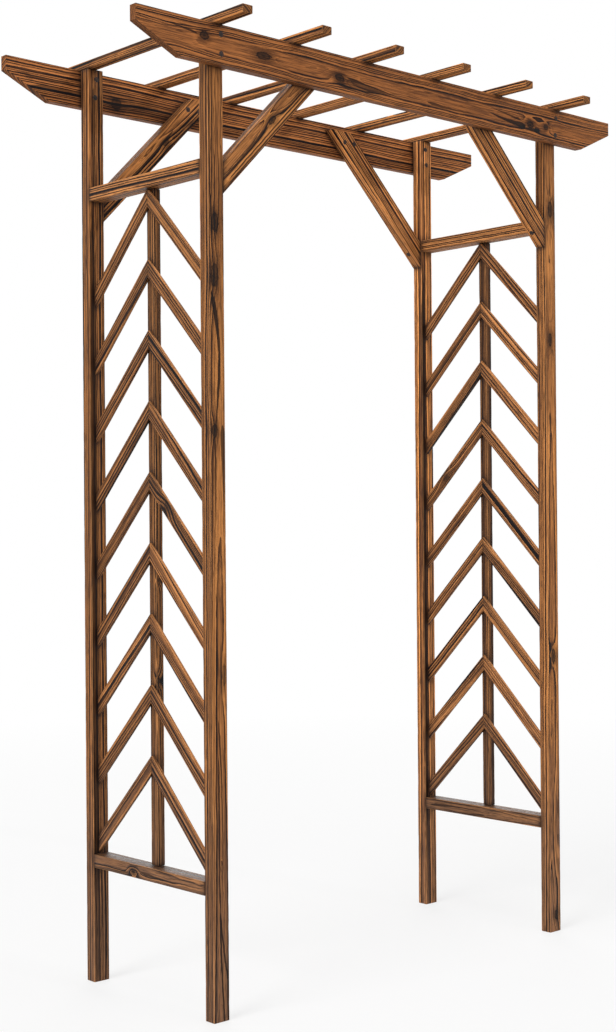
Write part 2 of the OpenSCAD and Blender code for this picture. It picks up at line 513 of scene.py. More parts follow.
timberFinish = {
    "arris": 0.0018,       # radius of the softened edges
    "arrisSteps": 2,
    "sharp": 0.2,          # least turn of an edge that is softened, in radians
    "dressed": 0.00012,    # least planed off a face
    "unevenness": 0.00028,
    "waves": (9, 45, 45),  # along, across and down the board, to a metre
    "dents": 0.0009,       # deepest knock on an edge
    "knocks": (38, 60, 60),
    "knocksFrom": 0.1,
    "cut": 0.010,          # spacing of the cuts along a timber, kept clear of its corners
    "cutClear": 0.006,
    "crossCut": 0.009,
    "crossClear": 0.004,
    "nookReach": 0.0055,   # how far the painted joint shade reaches out of a joint
    "nookSearch": 0.03,
    "endGrain": (0.15, 0.40),  # how much a face looks along the board, at none and at full end grain
    "looksUp": 0.5,        # least rise of the normal of a face that looks up
    "seed": (7.3, 1.7, 3.1),  # the first is for each board, so that no two roll alike
    "evenNormals": 60,     # how much the broad faces count
}
touching = 1e-6  # places nearer than this are the same
boards = []     # every sawn board, in the order they are cut
nodeTrees = {}  # nearest-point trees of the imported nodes


def nodeTree(name):
    if name not in nodeTrees:
        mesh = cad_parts[name].data
        faces = [tuple(p.vertices) for p in mesh.polygons]
        low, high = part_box(name)
        nodeTrees[name] = (BVHTree.FromPolygons([v.co.copy() for v in mesh.vertices], faces), low, high)
    return nodeTrees[name]


def nookAt(point, ownNode):
    # the strength of the painted joint shade: 1 against another timber, fading out into the open
    search = timberFinish["nookSearch"]
    nearest = 1.0
    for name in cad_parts:
        if name == ownNode:
            continue
        tree, low, high = nodeTree(name)
        if all(low[i] - search < point[i] < high[i] + search for i in range(3)):
            hit = tree.find_nearest(point, search)
            if hit[3] is not None:
                nearest = min(nearest, hit[3])
    return math.exp(-nearest / timberFinish["nookReach"])


def edgeRange(corners, l):
    # lowest and highest across value of a convex outline at a distance along it
    hits = []
    for (l0, w0), (l1, w1) in zip(corners, corners[1:] + corners[:1]):
        if abs(l1 - l0) < touching / 10:
            if abs(l - l0) < touching:
                hits += [w0, w1]
        elif min(l0, l1) - touching <= l <= max(l0, l1) + touching:
            hits.append(w0 + (w1 - w0) * (l - l0) / (l1 - l0))
    return min(hits), max(hits)


def spacedCuts(low, high, step, keepOff, clear):
    count = max(1, round((high - low) / step))
    cuts = [low + (high - low) * i / count for i in range(1, count)]
    return [c for c in cuts if all(abs(c - k) > clear for k in keepOff)]


def layOut(corners, along, thick, heart, lean, stock, rubbed=0.0):
    # corners outline the near face and the board runs from it by thick; heart is where the log's heart lay
    # from the board's middle, across it and down from the near face, and lean is how far that strays in a
    # metre; stock is (ring gap, paleness, line width); rubbed is how far faces that look up
    # are painted paler, a painted highlight of the light from above
    down = thick.normalized()
    across = down.cross(along)
    middle = sum(corners, Vector()) / len(corners)
    flat = [((p - middle).dot(along), (p - middle).dot(across)) for p in corners]
    first, last = min(p[0] for p in flat), max(p[0] for p in flat)
    low, high = min(p[1] for p in flat), max(p[1] for p in flat)
    centre = (low + high) / 2
    board = {
        "start": middle + along * first + across * centre, "along": along, "across": across, "down": down,
        "outline": [(l - first, w - centre) for l, w in flat], "length": last - first,
        "depth": thick.length, "heart": heart, "lean": lean, "stock": stock,
        "index": len(boards), "rubbed": rubbed,
    }
    boards.append(board)
    return board


def squareBoard(node, downAxis, along, heart, lean, stock):
    # a plain board that fills its node's box; downAxis is 0, 1 or 2 for a depth along X, Y or Z
    low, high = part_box(node)
    first, second = (axis for axis in range(3) if axis != downAxis)
    corners = []
    for i, j in ((low, low), (high, low), (high, high), (low, high)):
        corner = low.copy()
        corner[first] = i[first]
        corner[second] = j[second]
        corners.append(corner)
    return layOut(corners, along, axes[downAxis] * (high[downAxis] - low[downAxis]), heart, lean, stock)


def grainAt(board, l, w, t):
    # where a point of the board lay in its log: along it, then out from the heart
    run = l - board["length"] / 2
    b = w - board["heart"][0] - board["lean"][0] * run
    c = t - board["heart"][1] - board["lean"][1] * run
    return Vector((l + board["index"] * logLength, b, c))


# Knots and streaks stand at l along a board, w across it from its middle and t down from its near face.

def knotIn(cut, l, w, t=0.0, slat=0, radius=0.005, stretch=2.0, loops=3.0, strength=1.0, runs=0.012):
    # runs is how far the branch goes on into the timber past the face
    a, b, c = grainAt(cut[slat], l, w, t)
    return {"along": a, "angle": math.atan2(c, b), "radius": radius, "stretch": stretch,
            "loops": loops, "strength": strength, "reach": math.hypot(b, c) + runs}


def streakIn(cut, l, w, t=0.0, length=0.1, width=0.004, bow=0.0, drift=0.0, taper=2.2, strength=1.0):
    # a negative length runs back towards the start of the board
    a, b, c = grainAt(cut[0], l, w, t)
    leanAside, leanDeep = cut[0]["lean"]
    return {"along": a, "aside": b, "deep": c, "length": length, "width": width, "bow": bow, "drift": drift,
            "taper": taper, "strength": strength, "leanAside": leanAside, "leanDeep": leanDeep}


def blockOut(board):
    # the board as a lofted block with rows of cuts, in its own frame
    bm = bmesh.new()
    outline, depth = board["outline"], board["depth"]
    corners = sorted({round(p[0], 6) for p in outline})
    cuts = spacedCuts(0.0, board["length"], timberFinish["cut"], corners, timberFinish["cutClear"])
    rows = []
    for l in sorted(corners + cuts):
        low, high = edgeRange(outline, l)
        near = [bm.verts.new((l, low, 0)), bm.verts.new((l, low, depth))]
        if high - low > touching:
            rows.append([*near, bm.verts.new((l, high, 0)), bm.verts.new((l, high, depth))])
        else:
            rows.append([*near, *near])
    for one, two in zip(rows, rows[1:]):
        for i, j in ((0, 2), (2, 3), (3, 1), (1, 0)):
            ring = list(dict.fromkeys((one[i], one[j], two[j], two[i])))
            if len(ring) > 2:
                bm.faces.new(ring)
    for row in (rows[0], rows[-1]):
        if row[0] is not row[2]:
            bm.faces.new((row[0], row[2], row[3], row[1]))
    bmesh.ops.recalc_face_normals(bm, faces=bm.faces[:])
    wides = sorted({round(p[1], 6) for p in outline})
    step, clear = timberFinish["crossCut"], timberFinish["crossClear"]
    for axis, levels in ((alongY, wides), (alongZ, [0.0, depth])):
        for level in spacedCuts(levels[0], levels[-1], step, levels, clear):
            bmesh.ops.bisect_plane(bm, geom=bm.verts[:] + bm.edges[:] + bm.faces[:], dist=touching,
                                   plane_co=axis * level, plane_no=axis)
    return bm


def sawBoard(board, ownNode):
    # softens the arrises, planes the faces a little uneven and writes the attributes
    bm = blockOut(board)
    grain = bm.verts.layers.float_vector.new("grain")
    marks = bm.loops.layers.float_vector.new("marks")
    stock = bm.verts.layers.float_vector.new("stock")
    facing = bm.loops.layers.float_vector.new("facing")
    sharp = [e for e in bm.edges if len(e.link_faces) == 2 and e.calc_face_angle() > timberFinish["sharp"]]
    made = bmesh.ops.bevel(bm, geom=sharp, offset=timberFinish["arris"], offset_type="OFFSET", affect="EDGES",
                           segments=timberFinish["arrisSteps"], profile=0.5, clamp_overlap=True)
    softened = set(made["faces"])
    onArris = {v for v in bm.verts if all(f in softened for f in v.link_faces)}
    bm.normal_update()
    faced = {face: face.normal.copy() for face in bm.faces}
    turned = Matrix((board["along"], board["across"], board["down"])).transposed()
    place = turned.to_4x4()
    place.translation = board["start"]
    own, second, third = timberFinish["seed"]
    seed = Vector((board["index"] * own, second, third))

    def roll(point, scale):
        # smooth noise over the board, from -1 to 1
        return noise.noise(Vector((point.x * scale[0], point.y * scale[1], point.z * scale[2])) + seed)

    shifts = {}
    for v in bm.verts:
        wave = 0.5 + 0.5 * roll(v.co, timberFinish["waves"])
        depth = timberFinish["dressed"] + timberFinish["unevenness"] * wave
        if v in onArris:
            knock = roll(v.co, timberFinish["knocks"]) - timberFinish["knocksFrom"]
            depth += timberFinish["dents"] * max(0.0, knock)
        shifts[v] = v.co - v.normal * depth
    nooks = {}
    for v, where in shifts.items():
        v.co = where
        v[grain] = grainAt(board, *where)
        v[stock] = board["stock"]
        # how strongly each point gets the painted joint shade
        nooks[v] = nookAt(place @ where, ownNode)
    endLow, endHigh = timberFinish["endGrain"]
    for face, normal in faced.items():
        face.smooth = True
        # faces that look up take the worn colour here: a painted highlight of the light from above
        rubbed = board["rubbed"] if (turned @ normal).z > timberFinish["looksUp"] else 0.0
        endGrain = min(1.0, max(0.0, (abs(normal.x) - endLow) / (endHigh - endLow)))
        for loop in face.loops:
            worn = 1.0 if loop.vert in onArris else rubbed
            loop[marks] = (worn, nooks[loop.vert], endGrain)
            loop[facing] = normal
    bm.transform(place)
    mesh = bpy.data.meshes.new("sawn")
    bm.to_mesh(mesh)
    bm.free()
    return mesh


def finishTimber(node, cut, material):
    # joins a node's boards into one piece that stands for it
    bm = bmesh.new()
    for name in ("grain", "stock"):
        bm.verts.layers.float_vector.new(name)
    for name in ("facing", "marks"):
        bm.loops.layers.float_vector.new(name)
    for board in cut:
        mesh = sawBoard(board, node)
        bm.from_mesh(mesh)
        bpy.data.meshes.remove(mesh)
    mesh = bpy.data.meshes.new(node + "_timber")
    bm.to_mesh(mesh)
    bm.free()
    piece = addObject(node + "_timber", mesh)
    mesh.materials.append(material)
    even = piece.modifiers.new("evenNormals", "WEIGHTED_NORMAL")
    even.weight = timberFinish["evenNormals"]
    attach(piece, "root")
    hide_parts(node)


def finishFamily(title, material, look, cuts, knots, streaks):
    # cuts is {node: [boards]}; knots and streaks are {node: [place and size]}
    knots = [knotIn(cuts[node], **size) for node, sizes in knots.items() for size in sizes]
    streaks = [streakIn(cuts[node], **size) for node, sizes in streaks.items() for size in sizes]
    stained = stainedTimber(material, look, knots, streaks)
    for node, cut in cuts.items():
        finishTimber(node, cut, stained)
    print("%s: %d" % (title, len(cuts)))


postLook = {
    "pale": tint(214, 142, 79), "brown": tint(100, 61, 38), "dark": tint(12, 8, 10),
    "worn": tint(210, 148, 92),
    "bend": 0.011,  # how far the heart wanders
    "line": 1.0,    # how dark the late bands are
    "gloss": 0.5,   # roughness before the fibres and bands change it
    "calm": 0.5,    # how soft the rings are that the saw ran along
}
postLean = (0.003, -0.006)
# heart of the log, then ring gap, paleness and line width; paleness is the board's own tone, with painted
# light on top: the posts on the right are paler, where the light falls brighter
postStock = {
    "post_front_left": ((0.004, -0.032), (0.0054, 0.86, 0.0028)),
    "post_front_right": ((-0.004, -0.032), (0.0062, 0.99, 0.0028)),
    "post_back_left": ((-0.046, -0.030), (0.0060, 0.92, 0.0028)),
    "post_back_right": ((-0.050, -0.034), (0.0070, 1.60, 0.0031)),
}
postKnots = {
    "post_front_left": [
        dict(l=1.686, w=-0.0045, radius=0.009, stretch=2.3, loops=0.0, strength=0.95),
        dict(l=1.574, w=-0.006, radius=0.01, stretch=2.6, loops=0.7, strength=0.85),
        dict(l=1.562, w=-0.009, radius=0.0058, stretch=2.2, loops=0.2),
        dict(l=1.246, w=-0.008, radius=0.0072, stretch=2.0, loops=0.7, strength=0.95),
        dict(l=0.731, w=0.012, radius=0.0056, stretch=4.0, loops=0.7, strength=0.6),
    ],
    "post_front_right": [
        dict(l=1.848, w=0.002, radius=0.008, stretch=2.8, loops=1.0),
        dict(l=1.514, w=-0.003, radius=0.0064, stretch=2.8, loops=0.6),
        dict(l=0.705, w=-0.001, radius=0.008, stretch=2.4, loops=0.9),
        dict(l=0.25, w=0.004, radius=0.006, stretch=8.0, loops=1.4, strength=0.0),
        dict(l=0.044, w=0.003, radius=0.0066, stretch=1.8, loops=0.6),
    ],
}
postStreaks = {
    "post_front_left": [
        dict(l=1.657, w=-0.01, length=0.24, width=0.0012, bow=-0.007, drift=0.001),
        dict(l=1.657, w=0.001, length=0.22, width=0.0012, bow=0.007, drift=0.001),
        dict(l=1.545, w=-0.016, length=-0.29, width=0.006, bow=0.018, drift=0.009, taper=1.6),
        dict(l=1.44, w=0.006, length=-0.22, width=0.0014, bow=0.002, drift=-0.013, taper=0.3),
        dict(l=0.56, w=-0.004, length=-0.4, width=0.0012, drift=0.001, taper=0.3),
        dict(l=0.235, w=-0.003, length=-0.19, width=0.0014, bow=-0.003, drift=0.028, taper=0.3),
        dict(l=0.235, w=-0.003, length=-0.3, width=0.0014, bow=-0.002, drift=0.014, taper=0.3),
        dict(l=1.236, w=-0.008, length=-0.2, width=0.002, bow=0.003, drift=-0.001, strength=0.9),
        dict(l=1.262, w=0.013, length=-0.21, width=0.0062, drift=0.004, taper=1.2, strength=0.85),
        dict(l=0.64, w=-0.004, length=-0.42, width=0.0018, bow=0.006, drift=0.006, strength=0.9),
    ],
    "post_front_right": [
        dict(l=1.88, w=0.001, length=0.09, width=0.002, bow=-0.001, strength=0.9),
        dict(l=1.33, w=-0.006, length=-0.14, width=0.0044, bow=0.003, strength=0.9),
        dict(l=0.68, w=0.001, length=-0.18, width=0.002, bow=0.003, strength=0.8),
    ],
    "post_back_left": [
        dict(l=0.3, w=-0.004, length=-0.26, width=0.0024, bow=0.006, strength=0.9),
        dict(l=2.06, w=-0.006, length=-0.3, width=0.003, taper=0.4, strength=0.7),
        # painted shadow: a long dark band on the post's front face beside the panel, where the panel shades
        # it
        dict(l=1.79, w=-0.0125, length=-1.95, width=0.008, taper=0.1, strength=0.78),
        dict(l=0.26, w=-0.012, length=-0.3, width=0.004, bow=0.002, taper=0.4, strength=0.6),
    ],
    "post_back_right": [
        # painted shadow: a long dark band on the post's front face beside the panel, where the panel shades
        # it
        dict(l=1.79, w=-0.0155, length=-1.95, width=0.0056, taper=0.1, strength=1.0),
        dict(l=0.26, w=-0.01, length=-0.3, width=0.004, bow=0.002, taper=0.4, strength=0.6),
    ],
}


def makePosts():
    cuts = {}
    for node, (heart, stock) in postStock.items():
        cuts[node] = [squareBoard(node, 1, alongZ, heart, postLean, stock)]
    finishFamily("posts", "stainedPost", postLook, cuts, postKnots, postStreaks)


beamSizes = {"endHeight": 0.033, "cutLength": 0.116}  # the plumb cut and the slanting cut at each end
beamLook = dict(postLook, pale=tint(194, 122, 67), brown=tint(92, 56, 35), bend=0.014, calm=1.0)
beamLean = (0.004, 0.004)
beamStock = {
    "beam_front": ((0.005, -0.056), (0.0026, 1.00, 0.0029)),
    "beam_back": ((0.135, -0.070), (0.0052, 1.20, 0.0032)),
}
beamKnots = {
    "beam_front": [
        dict(l=0.177, w=-0.011, radius=0.0082, stretch=1.5, loops=0.0),
        dict(l=0.34, w=0.003, radius=0.0082, stretch=2.5, loops=0.0),
        dict(l=0.566, w=0.011, radius=0.0078, stretch=1.9, loops=1.9),
        dict(l=1.225, w=0.012, radius=0.008, stretch=1.6, loops=2.4),
        dict(l=1.286, w=0.008, radius=0.0072, stretch=1.2, loops=1.6),
    ],
    "beam_back": [dict(l=0.301, w=0.02, radius=0.0085, stretch=1.7, loops=0.4, strength=0.85)],
}
beamStreaks = {
    "beam_front": [
        dict(l=0.584, w=0.013, length=0.145, width=0.0115, drift=0.008, taper=1.1, strength=0.62),
        dict(l=0.56, w=0.025, length=0.18, width=0.0016, bow=0.004, drift=-0.006, taper=0.6),
        dict(l=0.586, w=0.004, length=0.19, width=0.002, drift=0.02, taper=1.4),
        dict(l=0.848, w=0.015, length=0.19, width=0.0034, bow=0.004, taper=1.4, strength=0.85),
        dict(l=0.16, w=-0.012, length=-0.14, width=0.0022, bow=-0.003, drift=-0.01, strength=0.9),
        dict(l=1.21, w=0.016, length=-0.16, width=0.007, bow=0.005, drift=-0.018, taper=1.4),
        dict(l=1.262, w=0.019, length=-0.12, width=0.005, bow=0.005, drift=-0.004, taper=1.4),
        dict(l=1.19, w=0.004, length=-0.12, width=0.003, drift=-0.014, strength=0.9),
    ],
    "beam_back": [
        # painted shadow: this broad first streak darkens the lower part of the beam's left end, where the
        # front beam shades it
        dict(l=0.18, w=0.01, length=0.48, width=0.026, bow=0.002, taper=0.7, strength=0.4),
        dict(l=0.32, w=0.026, length=0.3, width=0.005, bow=0.002, taper=1.6, strength=0.6),
        dict(l=0.06, w=0.014, length=0.42, width=0.005, bow=-0.004, taper=1.4, strength=0.75),
        dict(l=0.02, w=-0.01, length=0.33, width=0.003, bow=0.004, taper=1.4, strength=0.75),
    ],
}


def outlineAt(points, y):
    return [Vector((x, y, z)) for x, z in points]


def makeBeams():
    cuts = {}
    for node, (heart, stock) in beamStock.items():
        low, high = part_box(node)
        endZ = high.z - beamSizes["endHeight"]
        cut = beamSizes["cutLength"]
        corners = outlineAt([
            (low.x, endZ), (low.x + cut, low.z), (high.x - cut, low.z),
            (high.x, endZ), (high.x, high.z), (low.x, high.z)], low.y)
        cuts[node] = [layOut(corners, alongX, alongY * (high.y - low.y), heart, beamLean, stock)]
    finishFamily("beams", "stainedBeam", beamLook, cuts, beamKnots, beamStreaks)


battenLook = dict(postLook, pale=tint(212, 140, 79), brown=tint(98, 62, 39))
battenLean = (0.006, 0.004)
battenStock = (0.0060, 1.10, 0.0029)
battenHearts = [
    (0.038, -0.032), (-0.040, -0.030), (0.044, 0.050), (-0.038, -0.034), (0.040, 0.052), (0.036, -0.036)]
battenKnots = {
    "batten_2": [dict(l=0.2, w=0.004, t=0.0, radius=0.0045, stretch=2.2, loops=2.0)],
    "batten_5": [dict(l=0.46, w=-0.004, t=0.018, radius=0.0045, stretch=2.2, loops=2.0)],
}
battenStreaks = {
    "batten_1": [dict(l=0.3, w=0.004, length=0.22, width=0.004, bow=0.003, strength=0.8)],
    "batten_2": [dict(l=0.24, w=0.002, length=0.2, width=0.004, bow=-0.003, strength=0.9)],
    "batten_3": [dict(l=0.52, w=-0.004, length=-0.26, width=0.003, bow=0.003, strength=0.8)],
}
battenCount = sum(name.startswith("batten_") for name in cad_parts)


def makeBattens():
    cuts = {}
    for i in range(battenCount):
        node = "batten_%d" % (i + 1)
        heart = battenHearts[i % len(battenHearts)]
        cuts[node] = [squareBoard(node, 2, alongY, heart, battenLean, battenStock)]
    finishFamily("battens", "stainedBatten", battenLook, cuts, battenKnots, battenStreaks)


braceSizes = {"width": 0.048, "angle": math.radians(45)}
braceLook = dict(postLook, bend=0.010)
braceLean = (0.01, 0.01)
# the right-hand braces are painted paler, standing in for brighter light on that side
braceStock = {
    "brace_front_left": ((-0.012, -0.026), (0.0052, 1.03, 0.0030)),
    "brace_back_left": ((-0.014, -0.024), (0.0052, 1.12, 0.0030)),
    "brace_front_right": ((0.085, -0.050), (0.0062, 1.37, 0.0031)),
    "brace_back_right": ((-0.090, -0.040), (0.0070, 1.49, 0.0032)),
}
braceKnots = {
    "brace_front_left": [dict(l=0.223, w=-0.003, radius=0.0068, stretch=2.0, loops=0.9, strength=1.0)],
    "brace_back_left": [dict(l=0.279, w=0.002, radius=0.0056, stretch=1.9, loops=0.8, strength=0.85)],
}
braceStreaks = {
    "brace_front_left": [
        dict(l=0.25, w=0.002, length=0.12, width=0.003, bow=0.003, strength=0.75),
        dict(l=0.205, w=-0.001, length=-0.2, width=0.0032, bow=0.003, taper=0.8, strength=0.9),
        dict(l=0.03, w=0.0125, length=0.44, width=0.0009, bow=-0.001, taper=0.1, strength=0.95),
        dict(l=0.02, w=0.0185, length=0.45, width=0.0008, taper=0.1, strength=0.9),
    ],
    "brace_back_left": [
        dict(l=0.3, w=0.008, length=0.09, width=0.0022, bow=0.003, strength=0.7),
        dict(l=0.32, w=-0.004, length=-0.24, width=0.0026, bow=0.004, taper=1.5, strength=0.8),
    ],
}


def makeBraces():
    cuts = {}
    plumb = braceSizes["width"] / math.cos(braceSizes["angle"])
    level = braceSizes["width"] / math.sin(braceSizes["angle"])
    for node, (heart, stock) in braceStock.items():
        low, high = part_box(node)
        foot, top = (low.x, high.x) if node.endswith("left") else (high.x, low.x)
        lean = 1 if top > foot else -1
        corners = outlineAt([
            (foot, low.z), (top, high.z), (top - lean * level, high.z), (foot, low.z + plumb)], low.y)
        along = Vector((lean * math.cos(braceSizes["angle"]), 0, math.sin(braceSizes["angle"])))
        cuts[node] = [layOut(corners, along, alongY * (high.y - low.y), heart, braceLean, stock)]
    finishFamily("braces", "stainedBrace", braceLook, cuts, braceKnots, braceStreaks)


panelLook = dict(postLook, pale=tint(210, 141, 82), brown=tint(94, 60, 40), bend=0.010)
railLean = (0.006, 0.008)
railStock = {
    "rail_upper_left": ((-0.055, -0.035), (0.0052, 1.20, 0.0028)),
    "rail_upper_right": ((0.060, -0.045), (0.0052, 1.20, 0.0028)),
    "rail_lower_left": ((0.003, -0.026), (0.0058, 0.60, 0.0028)),
    "rail_lower_right": ((-0.002, -0.026), (0.0058, 0.60, 0.0028)),
}
stileLean = (0.004, 0.004)
stileStock = {
    "stile_left": ((0.034, -0.022), (0.0058, 0.57, 0.0028)),
    "stile_right": ((0.040, -0.030), (0.0058, 0.57, 0.0028)),
}
panelKnots = {
    "rail_lower_left": [dict(l=0.253, w=-0.004, radius=0.0042, stretch=1.6, loops=1.6)],
    "stile_left": [
        dict(l=0.409, w=0.0125, t=0.003, radius=0.004, stretch=1.8, loops=1.6),
        dict(l=0.632, w=0.0125, t=0.012, radius=0.0035, stretch=1.6, loops=1.4, strength=0.6),
    ],
}
panelStreaks = {
    "rail_lower_left": [
        dict(l=0.23, w=0.002, length=-0.2, width=0.003, bow=-0.006, strength=0.85),
        dict(l=0.27, w=-0.006, length=0.1, width=0.0022, bow=-0.003, strength=0.7),
    ],
    "rail_lower_right": [
        dict(l=0.39, w=-0.002, length=-0.22, width=0.0034, bow=0.004, strength=0.85),
        dict(l=0.19, w=-0.008, length=0.16, width=0.0022, bow=-0.003, strength=0.8),
    ],
}


def makePanelFrames():
    cuts = {}
    for node, (heart, stock) in railStock.items():
        cuts[node] = [squareBoard(node, 0, alongY, heart, railLean, stock)]
    for node, (heart, stock) in stileStock.items():
        cuts[node] = [squareBoard(node, 0, alongZ, heart, stileLean, stock)]
    finishFamily(
        "rails and stiles", "stainedPanelTimber", panelLook, cuts, panelKnots, panelStreaks)


slatSizes = {"width": 0.028, "angle": math.radians(45), "mitreGap": 0.0005}
# the slats' worn colour is brighter: it is arris wear and also the painted highlight on their faces that look
# up
slatLook = dict(
    postLook, pale=tint(210, 141, 84), brown=tint(96, 61, 41), worn=tint(248, 172, 108), bend=0.012)
# the slats on the right are painted paler, standing in for brighter light on that side
slatStock = {
    "rubbed": 1.0, "heartAside": (0.03, 0.06), "heartBehind": (0.02, 0.05), "lean": (-0.02, 0.02),
    "ringGap": (0.0054, 0.0070), "left": (0.54, 0.75), "right": (0.74, 1.00), "lineWidth": 0.0028,
    "seed": 23,
}
slatKnots = {
    "chevron_left_5": [dict(l=0.1, w=-0.004, radius=0.0045, stretch=2.5, loops=2.0, strength=0.6)],
    "chevron_right_4": [
        dict(slat=1, l=0.2, w=-0.003, radius=0.0045, stretch=2.5, loops=2.0, strength=0.5),
    ],
}


def makeChevrons():
    # each chevron is two slats that fall from a plumb mitre over the stile to the posts
    cuts = {}
    draw = random.Random(slatStock["seed"])
    plumb = slatSizes["width"] / math.cos(slatSizes["angle"])
    slope = math.tan(slatSizes["angle"])
    names = sorted((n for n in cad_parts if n.startswith("chevron_")),
                   key=lambda n: (n.split("_")[1], int(n.split("_")[2])))
    for node in names:
        low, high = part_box(node)
        paleness = slatStock[node.split("_")[1]]
        cuts[node] = []
        for side in (-1, 1):
            mitreY = side * slatSizes["mitreGap"] / 2
            endY = low.y if side < 0 else high.y
            endZ = high.z - (abs(endY) - abs(mitreY)) * slope
            corners = [Vector((low.x, y, z)) for y, z in (
                (mitreY, high.z), (endY, endZ), (endY, endZ - plumb), (mitreY, high.z - plumb))]
            along = Vector((0, side * math.cos(slatSizes["angle"]), -math.sin(slatSizes["angle"])))
            aside = draw.choice((-1, 1)) * draw.uniform(*slatStock["heartAside"])
            heart = (aside, -draw.uniform(*slatStock["heartBehind"]))
            lean = (draw.uniform(*slatStock["lean"]), draw.uniform(*slatStock["lean"]))
            stock = (draw.uniform(*slatStock["ringGap"]), draw.uniform(*paleness), slatStock["lineWidth"])
            cuts[node].append(layOut(
                corners, along, alongX * (high.x - low.x), heart, lean, stock, slatStock["rubbed"]))
    finishFamily("chevrons", "stainedSlat", slatLook, cuts, slatKnots, {})


makePosts()
makeBeams()
makeBattens()
makeBraces()
makePanelFrames()
makeChevrons()


steelLook = {
    "scuffScale": (700, 700, 700), "dark": tint(14, 12, 12), "light": tint(50, 44, 40),
    "rustScale": (260, 260, 260), "rustFrom": (0.52, 0.66), "rust": tint(112, 62, 38), "rustShare": 0.5,
    "metallic": 0.1, "roughness": (0.42, 0.7), "specular": 0.25,
}
# the dark rim round each screw head is painted shade in the bore
boreShadeLook = {
    "gritScale": (900, 900, 900), "dark": tint(14, 10, 9), "light": tint(36, 23, 17),
    "roughness": (0.6, 0.85),
}
usualNoise = (0.3, 0.7)  # most of a noise lies between these


def blackenedSteel():
    material, tree, shader = blankMaterial("blackenedSteel")
    where = objectPlace(tree)
    scuffs = noiseOver(tree, where, steelLook["scuffScale"], detail=3.0, rough=0.7)
    rust = mapRange(tree, noiseOver(tree, where, steelLook["rustScale"]), *steelLook["rustFrom"])
    base = mixColour(tree, scuffs, steelLook["dark"], steelLook["light"])
    base = mixColour(tree, times(tree, rust, steelLook["rustShare"]), base, steelLook["rust"])
    feedAll(tree, shader, {
        "Base Color": base, "Metallic": steelLook["metallic"], "Specular IOR Level": steelLook["specular"],
        "Roughness": mapRange(tree, scuffs, *usualNoise, *steelLook["roughness"])})
    return material


def crushedRim():
    material, tree, shader = blankMaterial("crushedRim")
    grit = noiseOver(tree, objectPlace(tree), boreShadeLook["gritScale"])
    feedAll(tree, shader, {
        "Base Color": mixColour(tree, grit, boreShadeLook["dark"], boreShadeLook["light"]),
        "Roughness": mapRange(tree, grit, *usualNoise, *boreShadeLook["roughness"])})
    return material


screwSizes = {
    "headRadius": 0.0042, "headHeight": 0.0022, "rimRadius": 0.0060, "rimHeight": 0.0012,
    "slotLength": 0.0048, "slotWidth": 0.0011, "slotDepth": 0.0011,
    "standsOut": 0.0009,   # of the head, past the face
    "edgeRound": 0.28,     # how far the head's top is drawn in
    "facets": 24, "headRings": 6, "rimRings": 1,
}


